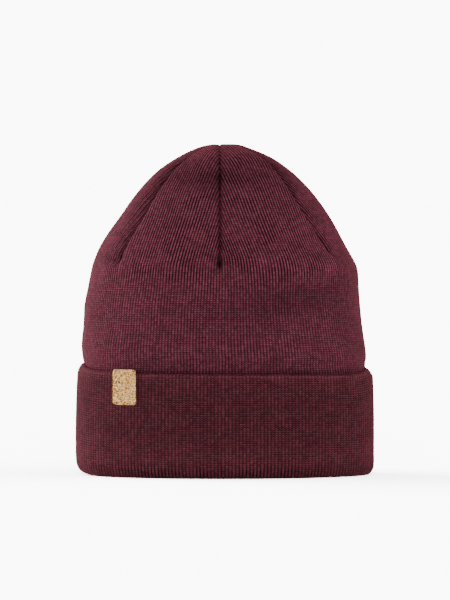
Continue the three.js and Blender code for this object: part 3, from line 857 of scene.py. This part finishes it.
def wool_knit(name, yarn, groove_shade_colour, change, wale_depth, course_depth):
    """Worsted wool in a fine rib, knitted in two layers: matt yarn whose loose fibres catch light at
    grazing angles, with painted shade between the wales and between the slanting legs of the
    stitches. The yarn is unevenly dyed and spun, so that one stitch differs from the next. The depths
    say how dark the painted shade goes in the grooves between the wales and between the courses,
    first below and then above the heights in mm between which they change."""
    material, tree = new_material(name)
    uv = add(tree, "ShaderNodeUVMap", uv_map="surface")
    wale = add(tree, "ShaderNodeSeparateXYZ", {"Vector": uv}, output="X")
    course = add(tree, "ShaderNodeSeparateXYZ", {"Vector": uv}, output="Y")
    place = add(tree, "ShaderNodeTexCoord", output="Object")
    height = add(tree, "ShaderNodeSeparateXYZ", {"Vector": place}, output="Z")
    painted_shading = add(tree, "ShaderNodeAttribute", output="Fac", attribute_name="painted_shading")

    # The yarn: dyed in patches, with pale fibres, and each stitch a little lighter or darker.
    dye = add(tree, "ShaderNodeTexNoise", {"Vector": place, "Scale": 1 / (DYE_PATCH * MM)})
    dye = add(tree, "ShaderNodeMapRange", from_to(dye, *DYE_RANGE), **SMOOTH)
    tufts = {"Vector": place, "Scale": 1 / (FIBRE * MM), "Roughness": 0.6}
    fibre = add(tree, "ShaderNodeTexNoise", tufts)
    pale = add(tree, "ShaderNodeMapRange", from_to(fibre, *FIBRE_RANGE, 0.0, FIBRE_SHARE), **SMOOTH)
    lit = add(tree, "ShaderNodeMix", {0: dye, 6: colour(yarn[0]), 7: colour(yarn[1])}, **COLOURS)
    lit = add(tree, "ShaderNodeMix", {0: pale, 6: lit, 7: colour(yarn[2])}, **COLOURS)
    stitch = add(tree, "ShaderNodeVectorMath", {0: uv}, operation="FLOOR")
    chance = add(tree, "ShaderNodeTexWhiteNoise", {"Vector": stitch}, noise_dimensions="2D")
    uneven = {0: chance, 1: 1 - STITCH_LEAST, 2: STITCH_LEAST}
    uneven = add(tree, "ShaderNodeMath", uneven, operation="MULTIPLY_ADD")

    # The grooves between wales, and the gaps between the legs of the stitches.
    rib = add(tree, "ShaderNodeMath", {0: wale, 1: 0.5}, operation="PINGPONG")
    leg = add(tree, "ShaderNodeMath", {0: rib, 1: LEG_SLANT, 2: course}, operation="MULTIPLY_ADD")
    leg = add(tree, "ShaderNodeMath", {0: leg, 1: 0.5}, operation="PINGPONG")
    groove = add(tree, "ShaderNodeMapRange", from_to(rib, *GROOVE_SIDE), **SMOOTH)
    gap = add(tree, "ShaderNodeMapRange", from_to(leg, *GROOVE_SIDE), **SMOOTH)
    pull = {"Vector": place, "Scale": 1 / (PULL_PATCH * MM), "Detail": 1.0}
    pull = add(tree, "ShaderNodeTexNoise", pull)
    pull = add(tree, "ShaderNodeMapRange", from_to(pull, *PULL_RANGE), **SMOOTH)
    low, high = (z * MM for z in change)

    # How much of the lit yarn shows over the painted shade colour: one less what each kind of groove's
    # painted shade takes, times the rest, which are each stitch's tone and one less the painted shading.
    shares = []
    for light, depths, pulls in ((groove, wale_depth, WALE_PULL), (gap, course_depth, COURSE_PULL)):
        depth = add(tree, "ShaderNodeMapRange", from_to(height, low, high, *depths), **SMOOTH)
        pulled = add(tree, "ShaderNodeMapRange", from_to(pull, 0.0, 1.0, *pulls), **SMOOTH)
        depth = add(tree, "ShaderNodeMath", {0: depth, 1: pulled}, operation="MULTIPLY")
        taken = add(tree, "ShaderNodeMath", {0: light, 1: 1.0}, operation="SUBTRACT")
        share = {0: taken, 1: depth, 2: 1.0}
        shares.append(add(tree, "ShaderNodeMath", share, operation="MULTIPLY_ADD"))
    shares += [uneven, add(tree, "ShaderNodeMath", {0: 1.0, 1: painted_shading}, operation="SUBTRACT")]
    shown = shares[0]
    for share in shares[1:]:
        shown = add(tree, "ShaderNodeMath", {0: shown, 1: share}, operation="MULTIPLY")

    relief = gap
    for part, part_height in ((groove, WALE_BUMP), (fibre, FIBRE_BUMP)):
        relief = {0: part, 1: part_height, 2: relief}
        relief = add(tree, "ShaderNodeMath", relief, operation="MULTIPLY_ADD")
    bump = {"Height": relief, "Strength": 0.6, "Distance": 0.25 * MM}
    base = {0: shown, 6: colour(groove_shade_colour), 7: lit}
    shader = {
        "Base Color": add(tree, "ShaderNodeMix", base, **COLOURS),
        "Roughness": 0.9,
        "Specular IOR Level": 0.08,
        "Sheen Weight": 0.45,
        "Sheen Roughness": 0.4,
        "Sheen Tint": colour("#b04c5c"),
        "Normal": add(tree, "ShaderNodeBump", bump),
    }
    add(tree, "ShaderNodeOutputMaterial", {"Surface": add(tree, "ShaderNodeBsdfPrincipled", shader)})
    return material


# Cork: sizes in mm and ranges, as for wool.
GRAIN = 2.6
GRAIN_RANGE = (0.42, 0.58)
SPECK = 0.9
SPECK_RANGE = (0.51, 0.57)
FLECK = 1.1
FLECK_RANGE = (0.53, 0.57)
GRANULE = 1.4


def cork_sheet():
    """Agglomerated cork, sliced thin and sanded: pale granules about a millimetre across, pressed
    together with darker bark flecks between them, dry and matt."""
    material, tree = new_material("sanded_cork_sheet")
    place = add(tree, "ShaderNodeTexCoord", output="Object")
    grain = {"Vector": place, "Scale": 1 / (GRAIN * MM), "Detail": 3.0, "Roughness": 0.6}
    specks = {"Vector": place, "Scale": 1 / (SPECK * MM), "Detail": 1.0}
    flecks = {"Vector": place, "Scale": 1 / (FLECK * MM), "Roughness": 0.7, "Distortion": 0.6}
    base = colour("#cc883f")
    layers = (
        (grain, GRAIN_RANGE, "#ffb966"),
        (specks, SPECK_RANGE, "#ffdb98"),
        (flecks, FLECK_RANGE, "#66461a"),
    )
    for inputs, between, code in layers:
        share = add(tree, "ShaderNodeTexNoise", inputs)
        share = add(tree, "ShaderNodeMapRange", from_to(share, *between), **SMOOTH)
        base = add(tree, "ShaderNodeMix", {0: share, 6: base, 7: colour(code)}, **COLOURS)

    granules = {"Vector": place, "Scale": 1 / (GRANULE * MM), "Randomness": 1.0}
    granules = add(tree, "ShaderNodeTexVoronoi", granules, output="Distance")
    bump = {"Height": granules, "Strength": 0.3, "Distance": 0.1 * MM}
    shader = {
        "Base Color": base,
        "Roughness": 0.8,
        "Specular IOR Level": 0.3,
        "Normal": add(tree, "ShaderNodeBump", bump),
    }
    add(tree, "ShaderNodeOutputMaterial", {"Surface": add(tree, "ShaderNodeBsdfPrincipled", shader)})
    return material


def lit_paper(brightness):
    """White seamless paper, lit so strongly that it shows white, at a brightness, though what it
    throws back at the hat is what white paper would."""
    material, tree = new_material("matt_white_paper")
    shown = add(tree, "ShaderNodeBsdfDiffuse", {"Color": (brightness, brightness, brightness, 1)})
    plain = add(tree, "ShaderNodeBsdfDiffuse", {"Color": colour("#f4f3f2")})
    seen = add(tree, "ShaderNodeLightPath", output="Is Camera Ray")
    mixed = add(tree, "ShaderNodeMixShader", {0: seen, 1: plain, 2: shown})
    add(tree, "ShaderNodeOutputMaterial", {"Surface": mixed})
    return material


# ---------------------------------------------------------------- the hat

# Above the feet of its darts the crown is pulled straight: its wales stand apart there, and its
# courses hardly show, so its painted shade is darker between the wales and lighter between the courses.
crown_wool = wool_knit(
    "worsted_wool_rib_knit",
    yarn=("#7b3747", "#873d51", "#b16676"),
    groove_shade_colour="#15050a",
    change=(118.0, 142.0),
    wale_depth=(0.62, 0.9),
    course_depth=(0.66, 0.35),
)
# The cuff's yarn is painted darker than the crown's, as painted shade on its face. It is stretched
# round the hem's fold, where its wales stand apart in the same way.
cuff_wool = wool_knit(
    "worsted_wool_rib_knit_painted_darker",
    yarn=("#632b35", "#6c303b", "#915260"),
    groove_shade_colour="#130508",
    change=(2.0, 12.0),
    wale_depth=(0.88, 0.5),
    course_depth=(0.5, 0.74),
)
crown = make_crown(crown_wool)
cuff = make_cuff(cuff_wool)
label = make_label(cork_sheet())
edge_rounding = label.modifiers.new("edge_rounding", "BEVEL")
edge_rounding.width = LABEL_EDGE_ROUND * MM
edge_rounding.segments = 2
edge_rounding.angle_limit = math.radians(LABEL_EDGE_ANGLE)

for piece, node, slot in ((crown, "crown", "knit"), (cuff, "cuff", "knit"), (label, "label", "cork")):
    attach(piece, "root")
    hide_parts(node)

# ---------------------------------------------------------------- studio

# Lamps far off with wide discs, so that the floor is lit evenly all over: name, compass direction in
# degrees from the front, positive towards +X, height in degrees, width of the disc in degrees, and
# watts per square metre.
LAMP_COLUMNS = [("name", "U8"), ("turn", float), ("rise", float), ("disc", float), ("power", float)]
LAMPS = np.array(
    [
        ("left", -108.0, 9.0, 60.0, 6.6),
        ("right", 84.0, 30.0, 60.0, 1.7),
        ("front", 0.0, 10.0, 50.0, 1.6),
    ],
    dtype=LAMP_COLUMNS,
)
FLOOR_HALF = 40.0  # metres
SURROUND = 0.37  # light from all round
SURROUND_SHOWN = 10.3  # how bright the same surround shows behind the hat
DISC_SPREAD = 0.42  # by what share of its width a disc spreads its light up and down


def share_on_floor(rise, disc):
    """Share of a lamp's light that reaches the floor: the sine of its height, or more where the
    lamp is low, because the part of its disc that has set lights nothing."""
    height = np.sin(np.radians(rise))
    return (height + np.hypot(height, DISC_SPREAD * np.sin(np.radians(disc / 2)))) / 2


def aim(thing, place, target):
    """Puts a light or camera at a place, facing a target."""
    thing.location = place
    heading = np.subtract(target, place)
    flat = math.hypot(heading[0], heading[1])
    tip = math.atan2(flat, -heading[2])
    thing.rotation_euler = (tip, 0.0, math.atan2(heading[1], heading[0]) - math.pi / 2)


# The floor shows as bright as the surround.
on_floor = SURROUND + np.sum(LAMPS["power"] * share_on_floor(LAMPS["rise"], LAMPS["disc"])) / math.pi
corners = [(-1, -1), (1, -1), (1, 1), (-1, 1)]
paper = bpy.data.meshes.new("paper_floor")
paper.from_pydata([(x * FLOOR_HALF, y * FLOOR_HALF, 0.0) for x, y in corners], [], [(0, 1, 2, 3)])
paper.materials.append(lit_paper(float(SURROUND_SHOWN / on_floor)))
floor = new_object("paper_floor", paper)

world = bpy.data.worlds.new("white_studio")
world.use_nodes = True
sky = world.node_tree
seen = add(sky, "ShaderNodeLightPath", output="Is Camera Ray")
strength = add(sky, "ShaderNodeMapRange", from_to(seen, 0.0, 1.0, SURROUND, SURROUND_SHOWN))
sky.links.new(strength, sky.nodes["Background"].inputs["Strength"])
sky.nodes["Background"].inputs["Color"].default_value = colour("#ffffff")
bpy.context.scene.world = world

for row in LAMPS:
    name = str(row["name"])
    lamp = bpy.data.lights.new(name, "SUN")
    lamp.energy = row["power"]
    lamp.angle = math.radians(row["disc"])
    turn, rise = math.radians(row["turn"]), math.radians(row["rise"])
    flat = math.cos(rise)
    place = (flat * math.sin(turn), -flat * math.cos(turn), math.sin(rise))
    aim(new_object(name, lamp), place, (0.0, 0.0, 0.0))

# The camera, in metres.
CAMERA_DISTANCE = 3.0
CAMERA_RISE = math.radians(1.5)
CAMERA_TARGET = (0.0, 0.0, 0.1152)
FRAME_HEIGHT = 0.396  # what the view takes in from top to bottom, at the hat's middle
camera_data = bpy.data.cameras.new("camera")
camera_data.lens = camera_data.sensor_width * CAMERA_DISTANCE / FRAME_HEIGHT
camera = new_object("camera", camera_data)
back = CAMERA_DISTANCE * math.cos(CAMERA_RISE)
up = CAMERA_DISTANCE * math.sin(CAMERA_RISE)
aim(camera, (CAMERA_TARGET[0], CAMERA_TARGET[1] - back, CAMERA_TARGET[2] + up), CAMERA_TARGET)
bpy.context.scene.camera = camera
